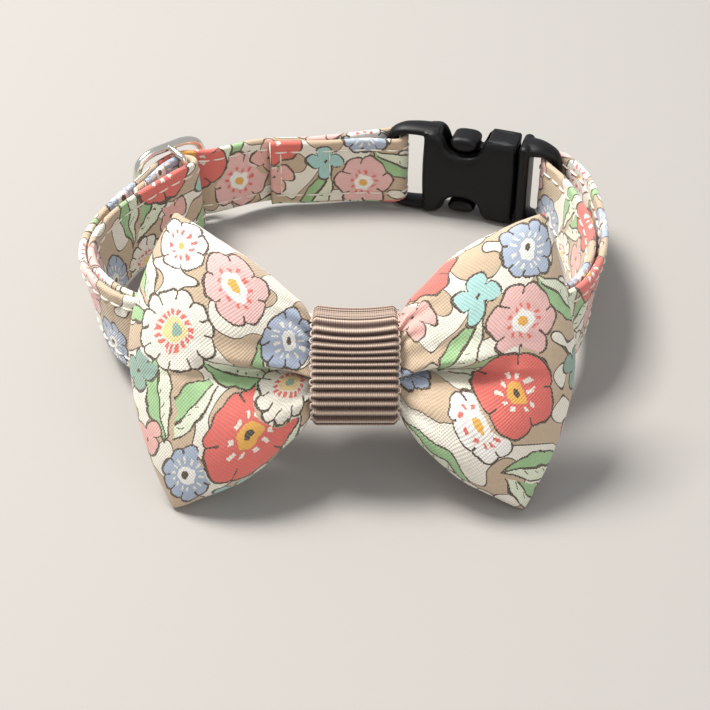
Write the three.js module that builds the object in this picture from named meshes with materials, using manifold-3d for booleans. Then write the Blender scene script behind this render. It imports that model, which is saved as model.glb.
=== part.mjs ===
// A small pet collar with a bow: a folded cotton strap in a ring, a side-release buckle, a metal
// slider, and a puffed cotton bow held on by a band of ribbed ribbon. Millimetres, +Z up.
// The bow faces -Y, the buckle and the slider are at the back, and the origin is on the surface
// that the collar lies on, under the middle of its bounding box.

import * as THREE from 'three';
import { mergeVertices } from 'three/addons/utils/BufferGeometryUtils.js';
import Module from 'manifold-3d';

const wasm = await Module();
wasm.setup();

// ---- Driving dimensions ----

const GAP = 0.3; // clearance between neighbouring pieces

const STRAP = { width: 10, thick: 1.4, chamfer: 0.3 };
const PITCH = STRAP.thick + GAP; // between the middles of two layers that lie together
// How far the strap's two ends run past their rows in the ring's table, as shares of the ring.
const TAIL_PAST = 0.004;
const SEWN_PAST = 0.01;

const BUCKLE = {
  height: 12.6, // across the strap
  thick: 5,
  loop: 6.8, // socket half's loop, with its end bar
  body: 12.4, // socket half's body
  base: 1.4, // plug half's shoulder
  plugLoop: 4.7,
  bar: { long: 1.7, thick: 1.5 }, // both end bars
  socketBarAt: 1.6, // middle of each end bar from its own end
  plugBarAt: 1.0,
  slotHalf: 5.35, // half the height of both slots
  bend: 75, // radius that its flat faces are curved to
};

const WIRE = 0.6; // radius of the slider's wire
const SLIDER = { half: 5.2, top: 5.95, corner: 2.2, out: 3.3, tilt: 0.45 };

const BOW = {
  lean: 36, // degrees, top away from the front
  centre: [0, -32.3, 13.1],
  waistHalf: 4.6, // half the length of the gathered waist
  wall: 1,
  slit: { long: 5, high: 1.6, deep: 6, at: -3.2 }, // turning slit at the back, under the wrap
};

const WRAP = {
  width: 9.2,
  thick: 0.9,
  chamfer: 0.2,
  waistUpper: 4.7,
  waistLower: 5.6,
  waistFront: 2.6,
  slack: 0.3, // extra room behind the strap
  steps: 48,
};

// The ring, from the socket's end bar round the left, the front and the right to the plug's end
// bar. x, y: middle of the ring's band at half its height. rise: height of its lower edge. lean:
// degrees that its top edge tips towards the ring's middle. outer, inner: how far the two layers
// of strap lie outside and inside the band's middle.
const RING = [
  { at: 'socket bar', x: 5.3, y: 21.5, rise: 1.1, lean: 0, outer: 2.0, inner: -2.0 },
  { at: 'behind socket', x: 1.0, y: 21.2, rise: 1.0, lean: 0, outer: 1.2, inner: -1.3 },
  { at: 'back', x: -5.0, y: 20.6, rise: 0.8, lean: 0, outer: 0.85, inner: -0.85 },
  { at: 'tail end', x: -12.5, y: 19.6, rise: 1.0, lean: 0, outer: 0.85, inner: -0.85 },
  { at: 'before slider', x: -19.0, y: 15.7, rise: 1.3, lean: -2, outer: 1.5, inner: -1.2 },
  { at: 'slider', x: -22.7, y: 12.9, rise: 1.6, lean: -5, outer: 3.3, inner: -1.6 },
  { at: 'after slider', x: -27.2, y: 7.6, rise: 1.6, lean: -8, outer: 1.7, inner: -1.7 },
  { at: 'left rear', x: -30.9, y: 0.9, rise: 1.5, lean: -10, outer: 1.1, inner: -1.1 },
  { at: 'left', x: -32.4, y: -5.4, rise: 1.6, lean: -10, outer: 0.85, inner: -0.85 },
  { at: 'left front', x: -31.0, y: -12.6, rise: 2.3, lean: -8, outer: 0.85, inner: -0.85 },
  { at: 'left corner', x: -26.6, y: -19.8, rise: 3.3, lean: 4, outer: 0.85, inner: -0.85 },
  { at: 'left of bow', x: -19.4, y: -24.2, rise: 4.8, lean: 20, outer: 0.85, inner: -0.85 },
  { at: 'left of wrap', x: -10.0, y: -27.4, rise: 6.2, lean: 33, outer: 0.85, inner: -0.85 },
  { at: 'wrap', x: 0.0, y: -28.6, rise: 6.5, lean: 36, outer: 0.85, inner: -0.85 },
  { at: 'right of wrap', x: 10.0, y: -27.2, rise: 6.2, lean: 33, outer: 0.85, inner: -0.85 },
  { at: 'right of bow', x: 19.2, y: -23.8, rise: 4.6, lean: 20, outer: 0.85, inner: -0.85 },
  { at: 'right corner', x: 25.2, y: -18.4, rise: 3.2, lean: 4, outer: 0.85, inner: -0.85 },
  { at: 'right front', x: 28.5, y: -10.8, rise: 2.2, lean: -6, outer: 0.85, inner: -0.85 },
  { at: 'right', x: 29.9, y: -2.4, rise: 1.6, lean: -10, outer: 1.1, inner: -1.3 },
  { at: 'right rear', x: 29.8, y: 5.4, rise: 1.5, lean: -5, outer: 1.5, inner: -1.9 },
  { at: 'behind plug', x: 29.0, y: 11.0, rise: 1.2, lean: -1, outer: 1.9, inner: -2.1 },
  { at: 'plug bar', x: 27.3, y: 14.7, rise: 1.1, lean: 0, outer: 2.0, inner: -2.0 },
];

// ---- Shared shape tools ----

const Z = new THREE.Vector3(0, 0, 1);

function closedMesh(positions, triangles) {
  const geometry = new THREE.BufferGeometry();
  geometry.setAttribute('position', new THREE.Float32BufferAttribute(positions, 3));
  geometry.setIndex(triangles);
  return geometry;
}

// Joins rings of points into a skin. Each ring has the same number of points.
function skin(rings, { closed = false } = {}) {
  const count = rings[0].length;
  const positions = rings.flat().flatMap((p) => [p.x, p.y, p.z]);
  const triangles = [];
  const spans = closed ? rings.length : rings.length - 1;
  for (let i = 0; i < spans; i++) {
    const a = i * count;
    const b = ((i + 1) % rings.length) * count;
    for (let j = 0; j < count; j++) {
      const k = (j + 1) % count;
      triangles.push(a + j, a + k, b + k, a + j, b + k, b + j);
    }
  }
  if (!closed) {
    const last = (rings.length - 1) * count;
    for (let j = 1; j < count - 1; j++) {
      triangles.push(0, j + 1, j, last, last + j, last + j + 1);
    }
  }
  return closedMesh(positions, triangles);
}

function toSolid(geometry) {
  const bare = geometry.clone();
  bare.deleteAttribute('normal');
  bare.deleteAttribute('uv');
  const merged = mergeVertices(bare, 1e-5);
  const solid = new wasm.Manifold(
    new wasm.Mesh({
      numProp: 3,
      vertProperties: new Float32Array(merged.attributes.position.array),
      triVerts: new Uint32Array(merged.index.array),
    }),
  );
  return solid;
}

function toGeometry(solid) {
  const mesh = solid.getMesh();
  return closedMesh(Array.from(mesh.vertProperties), Array.from(mesh.triVerts));
}

function flipped(geometry) {
  const index = geometry.index.array;
  const turned = [];
  for (let i = 0; i < index.length; i += 3) {
    turned.push(index[i], index[i + 2], index[i + 1]);
  }
  return closedMesh(Array.from(geometry.attributes.position.array), turned);
}

// A closed geometry with its faces pointing out, whichever way they were wound.
function outward(geometry) {
  const at = geometry.attributes.position;
  const index = geometry.index.array;
  let volume = 0;
  const [a, b, c] = [new THREE.Vector3(), new THREE.Vector3(), new THREE.Vector3()];
  for (let i = 0; i < index.length; i += 3) {
    a.fromBufferAttribute(at, index[i]);
    b.fromBufferAttribute(at, index[i + 1]);
    c.fromBufferAttribute(at, index[i + 2]);
    volume += a.dot(b.cross(c));
  }
  return volume > 0 ? geometry : flipped(geometry);
}

// A station is a point with the two directions that a section is drawn in.
function ringAt({ point, across, up }, section) {
  return section.map(([a, u]) => point.clone().addScaledVector(across, a).addScaledVector(up, u));
}

function sweep(stations, section, options) {
  return outward(skin(stations.map((station) => ringAt(station, section)), options));
}

// A rectangle with cut corners, width along the second direction.
function strapSection(width, thick, chamfer) {
  const w = width / 2;
  const t = thick / 2;
  return [
    [t, -w + chamfer],
    [t, w - chamfer],
    [t - chamfer, w],
    [-t + chamfer, w],
    [-t, w - chamfer],
    [-t, -w + chamfer],
    [-t + chamfer, -w],
    [t - chamfer, -w],
  ];
}

function circle(radius, sides) {
  return Array.from({ length: sides }, (_, i) => {
    const angle = (2 * Math.PI * i) / sides;
    return [radius * Math.cos(angle), radius * Math.sin(angle)];
  });
}

// ---- The ring's route ----

const route = new THREE.CatmullRomCurve3(
  RING.map((row) => new THREE.Vector3(row.x, row.y, 0)),
  false,
  'centripetal',
);
const poseCurve = new THREE.CatmullRomCurve3(
  RING.map((row) => new THREE.Vector3(row.rise, row.lean, 0)),
  false,
  'catmullrom',
);
const layerCurve = new THREE.CatmullRomCurve3(
  RING.map((row) => new THREE.Vector3(row.outer, row.inner, 0)),
  false,
  'catmullrom',
);

function rowPlace(name) {
  return RING.findIndex((row) => row.at === name) / (RING.length - 1);
}

// The band's middle at a place from 0 to 1: along runs round the ring from the socket to the
// plug, out points away from the ring's middle, and up lies in the strap's width.
function ringFrame(place) {
  const here = route.getPoint(place);
  const along = route.getTangent(place);
  const level = new THREE.Vector3().crossVectors(along, Z).normalize();
  const { x: rise, y: lean } = poseCurve.getPoint(place);
  const tip = THREE.MathUtils.degToRad(lean);
  const up = Z.clone().multiplyScalar(Math.cos(tip)).addScaledVector(level, -Math.sin(tip));
  const out = level.clone().multiplyScalar(Math.cos(tip)).addScaledVector(Z, Math.sin(tip));
  here.z = rise + (STRAP.width / 2) * Math.cos(tip);
  const { x: outer, y: inner } = layerCurve.getPoint(place);
  return { here, along, up, out, outer, inner };
}

// ---- Strap ----

// A run of strap between two places, at an offset from the band's middle. face is 1 where the
// strap's outside looks out of the ring and -1 after it has turned back.
function run(from, to, offset, face, steps) {
  return Array.from({ length: steps + 1 }, (_, i) => {
    const frame = ringFrame(from + ((to - from) * i) / steps);
    const point = frame.here.clone().addScaledVector(frame.out, offset(frame));
    return { point, across: frame.out.clone().multiplyScalar(face), up: frame.up };
  });
}

// A half turn round a bar at one place, from one offset to the other, bulging towards the bar's
// far side: ahead is 1 along the ring and -1 against it. The ends are left to the runs.
function halfTurn(place, from, to, ahead, face, steps) {
  const frame = ringFrame(place);
  const middle = frame.here.clone().addScaledVector(frame.out, (from + to) / 2);
  const reach = (from - to) / 2;
  const stations = [];
  for (let i = 1; i < steps; i++) {
    const angle = (Math.PI * i) / steps;
    const radial = frame.out
      .clone()
      .multiplyScalar(Math.cos(angle) * Math.sign(reach))
      .addScaledVector(frame.along, Math.sin(angle) * ahead);
    const point = middle.clone().addScaledVector(radial, Math.abs(reach));
    const across = radial.multiplyScalar(face * Math.sign(reach));
    stations.push({ point, across, up: frame.up });
  }
  return stations;
}

function strapStations() {
  const slider = rowPlace('slider');
  const tailEnd = rowPlace('tail end') - TAIL_PAST;
  const sewnEnd = rowPlace('after slider') + SEWN_PAST;
  const outer = (frame) => frame.outer;
  const inner = (frame) => frame.inner;
  const sewn = (frame) => frame.outer - PITCH;
  const first = ringFrame(0);
  const last = ringFrame(1);
  const bar = ringFrame(slider);
  return [
    ...run(tailEnd, 0, inner, -1, 14),
    ...halfTurn(0, first.inner, first.outer, -1, -1, 8),
    ...run(0, 1, outer, 1, 96),
    ...halfTurn(1, last.outer, last.inner, 1, 1, 8),
    ...run(1, slider, inner, -1, 76),
    ...halfTurn(slider, bar.inner, sewn(bar), -1, -1, 8),
    ...run(slider, sewnEnd, sewn, 1, 8),
  ];
}

function makeStrap() {
  const section = strapSection(STRAP.width, STRAP.thick, STRAP.chamfer);
  return sweep(strapStations(), section);
}

// ---- Slider ----

function wireAlong(points, closed, steps, sides) {
  const curve = new THREE.CatmullRomCurve3(points, closed, 'centripetal');
  const frames = curve.computeFrenetFrames(steps, closed);
  const count = closed ? steps : steps + 1;
  const stations = Array.from({ length: count }, (_, i) => ({
    point: curve.getPointAt(i / steps),
    across: frames.normals[i],
    up: frames.binormals[i],
  }));
  return sweep(stations, circle(WIRE, sides), { closed });
}

// A flat rounded frame outside the strap, whose centre bar runs inside it. The bar's ends step
// out over the strap's edges to meet the frame.
function makeSlider() {
  const { here, along, up, out } = ringFrame(rowPlace('slider'));
  const place = (a, u, o) =>
    here.clone().addScaledVector(along, a).addScaledVector(up, u).addScaledVector(out, o);
  const { half, top, corner, out: stand, tilt } = SLIDER;
  const onFrame = (a, u) => place(a, u, stand + (tilt * a) / half);
  const quarter = [
    [half, 0],
    [half, top - corner - 0.6],
    [half - corner * 0.3, top - corner * 0.45],
    [half - corner, top - 0.15],
  ];
  const outline = [
    ...quarter.map(([a, u]) => onFrame(a, u)),
    onFrame(0, top),
    ...quarter.slice().reverse().map(([a, u]) => onFrame(-a, u)),
    ...quarter.slice(1).map(([a, u]) => onFrame(-a, -u)),
    onFrame(0, -top),
    ...quarter.slice(1).reverse().map(([a, u]) => onFrame(a, -u)),
  ];
  const bar = [
    place(0, -top, stand),
    place(0, -top, stand * 0.5),
    place(0, -top + 0.15, 0.35),
    place(0, -top + 0.9, 0),
    place(0, 0, 0),
    place(0, top - 0.9, 0),
    place(0, top - 0.15, 0.35),
    place(0, top, stand * 0.5),
    place(0, top, stand),
  ];
  const frame = toSolid(wireAlong(outline, true, 56, 10));
  return toGeometry(frame.add(toSolid(wireAlong(bar, false, 30, 10))));
}

// ---- Buckle ----

const SOCKET_END = BUCKLE.loop + BUCKLE.body;
const BUCKLE_END = SOCKET_END + GAP + BUCKLE.base + BUCKLE.plugLoop;

// The buckle's own frame: l runs from the socket's end to the plug's, h up, d outwards. Its end
// bars lie at the two ends of the ring's route.
function buckleFrame() {
  const start = ringFrame(0).here;
  const end = ringFrame(1).here;
  const along = end.clone().sub(start).setZ(0).normalize();
  const out = new THREE.Vector3().crossVectors(Z, along).normalize();
  const middle = start.clone().add(end).multiplyScalar(0.5);
  const halfway = (BUCKLE.socketBarAt + BUCKLE_END - BUCKLE.plugBarAt) / 2;
  return { middle, along, out, halfway };
}

function outlineShape(points) {
  const shape = new THREE.Shape();
  points.forEach(([l, h], i) => (i ? shape.lineTo(l, h) : shape.moveTo(l, h)));
  shape.closePath();
  return shape;
}

function roundedBox(l0, l1, h, radius) {
  const shape = new THREE.Shape();
  shape.moveTo(l0 + radius, -h);
  shape.lineTo(l1 - radius, -h);
  shape.absarc(l1 - radius, -h + radius, radius, -Math.PI / 2, 0, false);
  shape.lineTo(l1, h - radius);
  shape.absarc(l1 - radius, h - radius, radius, 0, Math.PI / 2, false);
  shape.lineTo(l0 + radius, h);
  shape.absarc(l0 + radius, h - radius, radius, Math.PI / 2, Math.PI, false);
  shape.lineTo(l0, -h + radius);
  shape.absarc(l0 + radius, -h + radius, radius, Math.PI, 1.5 * Math.PI, false);
  return shape;
}

// A slab between two depths, with rounded rims.
function slab(shape, d0, d1, rim = 0) {
  const geometry = new THREE.ExtrudeGeometry(shape, {
    depth: d1 - d0 - 2 * rim,
    bevelEnabled: rim > 0,
    bevelThickness: rim,
    bevelSize: rim,
    bevelOffset: -rim,
    bevelSegments: 3,
    curveSegments: 6,
  });
  geometry.translate(0, 0, d0 + rim);
  return toSolid(geometry);
}

// Curves the flat buckle gently, so that its ends lie nearer the ring's middle, and puts it in
// place with its end bars on the ring's route.
function placeBuckle(solid) {
  const { middle, along, out, halfway } = buckleFrame();
  const geometry = toGeometry(solid);
  const at = geometry.attributes.position;
  const sag = (l) => (l * l) / (2 * BUCKLE.bend);
  for (let i = 0; i < at.count; i++) {
    const l = at.getX(i) - halfway;
    const d = at.getZ(i) - sag(l) + sag(halfway - BUCKLE.socketBarAt);
    const p = middle.clone().addScaledVector(along, l).addScaledVector(out, d);
    at.setXYZ(i, p.x, p.y, p.z + at.getY(i));
  }
  return outward(geometry);
}

const NOTCH = { from: BUCKLE.loop + 2.0, to: SOCKET_END - 3.4, depth: 3.0, corner: 1.6 };
const CAVITY = { half: 4.7, thick: 2.4, from: BUCKLE.loop + 1.2 };

function notchShape(side) {
  const top = (BUCKLE.height / 2 + 2) * side;
  const foot = (BUCKLE.height / 2 - NOTCH.depth) * side;
  const { from, to } = NOTCH;
  const c = NOTCH.corner * side;
  return outlineShape([
    [from, top],
    [from, foot + c],
    [from + NOTCH.corner * 0.3, foot + c * 0.3],
    [from + NOTCH.corner, foot],
    [to - NOTCH.corner, foot],
    [to - NOTCH.corner * 0.3, foot + c * 0.3],
    [to, foot + c],
    [to, top],
  ]);
}

// A loop for the strap: two side bars and a thinner end bar, open at its other end.
function makeLoop(l0, l1, barAt) {
  const { height, slotHalf, bar } = BUCKLE;
  const frame = slab(roundedBox(l0, l1, height / 2 - 0.2, 1.4), -1.3, 1.3, 0.5);
  const slot = slab(roundedBox(l0 - 2, l1 + 2, slotHalf, 0.5), -3, 3);
  const endBar = slab(
    roundedBox(barAt - bar.long / 2, barAt + bar.long / 2, slotHalf + 0.4, 0.4),
    -bar.thick / 2,
    bar.thick / 2,
    0.35,
  );
  return frame.subtract(slot).add(endBar);
}

function makeSocket() {
  const { height, thick, loop, socketBarAt } = BUCKLE;
  const body = slab(roundedBox(loop, SOCKET_END, height / 2, 1.2), -thick / 2, thick / 2, 0.9);
  const cavity = slab(
    roundedBox(CAVITY.from, SOCKET_END + 2, CAVITY.half, 0.4),
    -CAVITY.thick / 2,
    CAVITY.thick / 2,
  );
  let socket = body.add(makeLoop(0, loop + 1, socketBarAt)).subtract(cavity);
  for (const side of [-1, 1]) {
    socket = socket.subtract(slab(notchShape(side), -thick, thick));
  }
  return placeBuckle(socket);
}

// The plug's insides: a guide bar down the middle and a spring arm at each side.
const ARM = { half: 0.6, corner: 0.25, into: 0.6 };
const GUIDE = { half: 0.8, corner: 0.3, from: BUCKLE.loop + 4 };
const TAB = { foot: 3.2, shoulder: 5.0, crown: 5.7, swell: 0.15, corner: 1.6 };
const PAD = { foot: 4.1, crown: 5.75, setIn: 0.5, rim: 0.3, inset: 0.2, taper: 0.9 };

// The release tab of one spring arm: it fills its notch with a gap all round and bows outwards.
function tabShape(side) {
  const from = NOTCH.from + GAP;
  const to = NOTCH.to - GAP;
  const foot = TAB.foot * side;
  const shoulder = TAB.shoulder * side;
  const crown = TAB.crown * side;
  return outlineShape([
    [from, foot],
    [to, foot],
    [to, shoulder],
    [to - TAB.corner, crown],
    [(from + to) / 2, crown + TAB.swell * side],
    [from + TAB.corner, crown],
    [from, shoulder],
  ]);
}

function makePlug() {
  const { height, thick, base, plugBarAt } = BUCKLE;
  const start = SOCKET_END + GAP;
  const half = CAVITY.half - GAP;
  const depth = CAVITY.thick / 2 - GAP;
  const shoulder = slab(
    roundedBox(start, start + base, height / 2, 0.5),
    -thick / 2,
    thick / 2,
    0.45,
  );
  const inner = start + ARM.into;
  const guide = slab(roundedBox(GUIDE.from, inner, GUIDE.half, GUIDE.corner), -depth, depth);
  let plug = shoulder.add(makeLoop(start + base - 1, BUCKLE_END, BUCKLE_END - plugBarAt)).add(guide);
  for (const side of [-1, 1]) {
    const arm = roundedBox(NOTCH.from + GAP, inner, ARM.half, ARM.corner);
    const solid = slab(arm, -depth, depth).translate([0, (half - ARM.half) * side, 0]);
    plug = plug.add(solid).add(slab(tabShape(side), -depth, depth)).add(pad(side, thick / 2));
  }
  return placeBuckle(plug);
}

// The thick finger pad on a release tab, standing clear of the notch's floor.
function pad(side, depth) {
  const from = NOTCH.from + GAP;
  const to = NOTCH.to - GAP;
  const foot = PAD.foot * side;
  const crown = PAD.crown * side;
  const shoulder = TAB.shoulder * side;
  const shape = outlineShape([
    [from + PAD.taper, foot],
    [to - PAD.taper, foot],
    [to - PAD.inset, shoulder],
    [to - TAB.corner, crown],
    [(from + to) / 2, crown + TAB.swell * side],
    [from + TAB.corner, crown],
    [from + PAD.inset, shoulder],
  ]);
  return slab(shape, -depth + PAD.setIn, depth - PAD.setIn, PAD.rim);
}

// ---- Bow ----

// The bow's own frame: x across, up along its leaning height, front towards the viewer.
const lean = THREE.MathUtils.degToRad(BOW.lean);
const bowUp = new THREE.Vector3(0, Math.sin(lean), Math.cos(lean));
const bowFront = new THREE.Vector3(0, -Math.cos(lean), Math.sin(lean));
const bowCentre = new THREE.Vector3(...BOW.centre);

function bowPoint(x, up, front) {
  return bowCentre
    .clone()
    .add(new THREE.Vector3(x, 0, 0))
    .addScaledVector(bowUp, up)
    .addScaledVector(bowFront, front);
}

// One wing from waist to side edge. far: share of the way. upper, lower: how far it reaches above
// and below its middle line there. front, back: how far its two faces puff out. crease: depth of
// the fold along the middle.
const WING = [
  { far: 0.0, upper: 4.5, lower: 5.4, front: 2.3, back: 2.3, crease: 0.5 },
  { far: 0.06, upper: 6.4, lower: 7.1, front: 2.9, back: 2.4, crease: 1.3 },
  { far: 0.14, upper: 7.8, lower: 8.5, front: 3.7, back: 2.7, crease: 1.9 },
  { far: 0.24, upper: 9.3, lower: 9.9, front: 4.5, back: 3.0, crease: 2.1 },
  { far: 0.38, upper: 11.2, lower: 11.7, front: 5.3, back: 3.4, crease: 1.9 },
  { far: 0.55, upper: 13.0, lower: 13.3, front: 5.5, back: 3.6, crease: 1.4 },
  { far: 0.72, upper: 14.4, lower: 14.5, front: 4.9, back: 3.3, crease: 0.8 },
  { far: 0.87, upper: 15.5, lower: 15.5, front: 3.4, back: 2.6, crease: 0.3 },
  { far: 0.96, upper: 16.1, lower: 16.1, front: 2.0, back: 1.7, crease: 0.1 },
  { far: 1.0, upper: 16.4, lower: 16.3, front: 1.0, back: 1.0, crease: 0.0 },
];

// How far each wing reaches: along its middle line, at its upper tip and at its lower tip. round
// bows its side edge outwards above and below the middle, and sag draws its upper edge in.
const REACH = {
  '-1': { middle: 24.4, upper: 19.3, lower: 19.6, roundUpper: 2.1, roundLower: 1.7, sag: 0.7 },
  1: { middle: 23.8, upper: 20.3, lower: 18.2, roundUpper: 1.7, roundLower: 1.7, sag: -0.4 },
};

function wingRow(far) {
  const curve = (name) => {
    const next = Math.max(1, WING.findIndex((row) => row.far >= far));
    const [a, b] = [WING[next - 1], WING[next]];
    const share = (far - a.far) / (b.far - a.far);
    return a[name] + (b[name] - a[name]) * share;
  };
  return {
    upper: curve('upper'),
    lower: curve('lower'),
    front: curve('front'),
    back: curve('back'),
    crease: curve('crease'),
  };
}

// A closed ring of points round one cross-section of a wing. inset shrinks it for the hollow.
function wingRing(side, far, inset, steps) {
  const row = wingRow(far);
  const reach = REACH[side];
  const ring = [];
  for (let i = 0; i < 2 * steps; i++) {
    const angle = (Math.PI * (i + 0.5)) / steps;
    const level = Math.cos(angle);
    const bulge = Math.sin(angle);
    const share = Math.sign(level) * Math.abs(level) ** 0.8;
    const tip = level > 0 ? reach.upper : reach.lower;
    const round = level > 0 ? reach.roundUpper : reach.roundLower;
    const end = reach.middle + (tip - reach.middle) * Math.abs(share) ** round - inset;
    const x = side * (BOW.waistHalf + far * (end - BOW.waistHalf));
    const height = level > 0 ? row.upper - 4 * reach.sag * far * (1 - far) : row.lower;
    const up = share * (height - inset);
    const puff = Math.abs(bulge) ** 0.6;
    const fold = Math.exp(-((level / 0.2) ** 2));
    const front = bulge > 0 ? row.front - row.crease * fold : -row.back + 0.35 * row.crease * fold;
    ring.push(bowPoint(x, up, (front - Math.sign(bulge) * inset) * puff));
  }
  return ring;
}

function bowSkin(inset) {
  const fars = [0, 0.06, 0.14, 0.24, 0.31, 0.38, 0.46, 0.55, 0.64, 0.72, 0.8, 0.87, 0.92, 0.96, 1];
  const steps = 16;
  const right = fars.map((far) => wingRing(1, far, inset, steps));
  const left = fars.map((far) => wingRing(-1, far, inset, steps)).reverse();
  return toSolid(outward(skin([...left, ...right])));
}

function makeBow() {
  const { long, high, deep, at: slitAt } = BOW.slit;
  const slit = new THREE.BoxGeometry(long, high, deep);
  const basis = new THREE.Matrix4().makeBasis(new THREE.Vector3(1, 0, 0), bowUp, bowFront);
  slit.applyMatrix4(basis);
  const at = bowPoint(0, 0, slitAt);
  slit.translate(at.x, at.y, at.z);
  return toGeometry(bowSkin(0).subtract(bowSkin(BOW.wall)).subtract(toSolid(slit)));
}

// ---- Centre wrap ----

// One closed band round the bow's waist and both layers of strap.
function makeWrap() {
  const strapBack = WRAP.waistFront + 2 * GAP + 2 * STRAP.thick + GAP + WRAP.slack;
  const half = (waist, side) =>
    [
      [waist * 0.6, WRAP.waistFront - 0.05],
      [waist * 0.9, WRAP.waistFront - 0.7],
      [waist, WRAP.waistFront - 1.8],
      [(waist + STRAP.width / 2) / 2 + 0.2, -WRAP.waistFront],
      [STRAP.width / 2 + 0.55, -strapBack + 1],
      [STRAP.width / 2 - 0.6, -strapBack],
    ].map(([up, front]) => [side * up, front]);
  const profile = [
    [0, WRAP.waistFront],
    ...half(WRAP.waistUpper, 1),
    ...half(WRAP.waistLower, -1).reverse(),
  ];
  const curve = new THREE.CatmullRomCurve3(
    profile.map(([u, f]) => new THREE.Vector3(0, u, f)),
    true,
    'centripetal',
  );
  const { steps } = WRAP;
  const middle = new THREE.Vector3(0, 0, -strapBack / 4);
  const stations = Array.from({ length: steps }, (_, i) => {
    const p = curve.getPointAt(i / steps);
    const tangent = curve.getTangentAt(i / steps);
    const away = new THREE.Vector3().crossVectors(tangent, new THREE.Vector3(1, 0, 0)).normalize();
    if (away.dot(p.clone().sub(middle)) < 0) {
      away.negate();
    }
    p.addScaledVector(away, GAP + WRAP.thick / 2);
    const origin = bowPoint(0, 0, 0);
    return {
      point: bowPoint(0, p.y, p.z),
      across: bowPoint(0, away.y, away.z).sub(origin),
      up: new THREE.Vector3(1, 0, 0),
    };
  });
  return sweep(stations, strapSection(WRAP.width, WRAP.thick, WRAP.chamfer), { closed: true });
}

// ---- Assembly ----

function finish(color, roughness, metalness = 0) {
  return new THREE.MeshStandardMaterial({ color, roughness, metalness });
}

const parts = [
  ['strap', makeStrap(), finish(0xd9c3a8, 0.9)],
  ['slider', makeSlider(), finish(0xc9cacc, 0.3, 1)],
  ['buckle_socket', makeSocket(), finish(0x141516, 0.45)],
  ['buckle_plug', makePlug(), finish(0x141516, 0.45)],
  ['bow', makeBow(), finish(0xe0c9b0, 0.9)],
  ['centre_wrap', makeWrap(), finish(0x96806f, 0.75)],
];

const collar = new THREE.Group();
for (const [name, geometry, material] of parts) {
  const mesh = new THREE.Mesh(geometry, material);
  mesh.name = name;
  collar.add(mesh);
}

const box = new THREE.Box3().setFromObject(collar);
const centre = box.getCenter(new THREE.Vector3());
collar.position.set(-centre.x, -centre.y, -box.min.z);

export default collar;
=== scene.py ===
"""The looks of a small pet collar with a bow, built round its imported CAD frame.

Lengths are in millimetres until a mesh is written, and metres from there on. The ring's route and
the bow's wings repeat the CAD source's tables, so that each fine piece fills its CAD solid.
"""

import math
from functools import partialmethod

import bmesh
import bpy
import numpy as np
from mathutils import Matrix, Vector, noise


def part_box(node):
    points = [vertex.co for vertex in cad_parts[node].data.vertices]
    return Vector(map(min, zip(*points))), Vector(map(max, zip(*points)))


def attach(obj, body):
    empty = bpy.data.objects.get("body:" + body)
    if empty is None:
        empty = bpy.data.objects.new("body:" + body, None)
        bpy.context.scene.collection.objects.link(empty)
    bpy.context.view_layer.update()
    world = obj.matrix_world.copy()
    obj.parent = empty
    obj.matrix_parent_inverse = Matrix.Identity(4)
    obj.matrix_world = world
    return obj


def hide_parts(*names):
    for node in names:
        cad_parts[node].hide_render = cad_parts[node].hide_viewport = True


MM = 0.001
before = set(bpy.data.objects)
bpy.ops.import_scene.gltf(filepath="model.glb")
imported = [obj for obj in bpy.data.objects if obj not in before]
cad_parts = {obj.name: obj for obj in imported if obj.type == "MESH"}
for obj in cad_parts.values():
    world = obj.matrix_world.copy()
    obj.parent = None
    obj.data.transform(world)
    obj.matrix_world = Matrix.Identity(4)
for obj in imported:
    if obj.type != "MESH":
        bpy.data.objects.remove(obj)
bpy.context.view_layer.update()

# ---- Driving dimensions, in millimetres ----

STRAP_WIDTH = 10.0
STRAP_THICK = 1.4
LAYER_GAP = 0.3
LAYER_PITCH = STRAP_THICK + LAYER_GAP
CLOTH_THICK = 1.0  # the soft strap, pressed a little flatter than its plain solid
CLOTH_TUCK = 0.27  # how far each soft layer lies nearer to its neighbour
CLOTH_PITCH = 1.25
WIRE = 0.6
SLIDER = {"half": 5.2, "top": 5.95, "corner": 2.2, "out": 3.3, "tilt": 0.45}
BOW = {"lean": 36.0, "centre": (0.0, -32.3, 13.1), "waist": 4.6}
WRAP = {"width": 9.2, "thick": 0.9, "upper": 4.7, "lower": 5.6, "front": 2.6}

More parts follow.
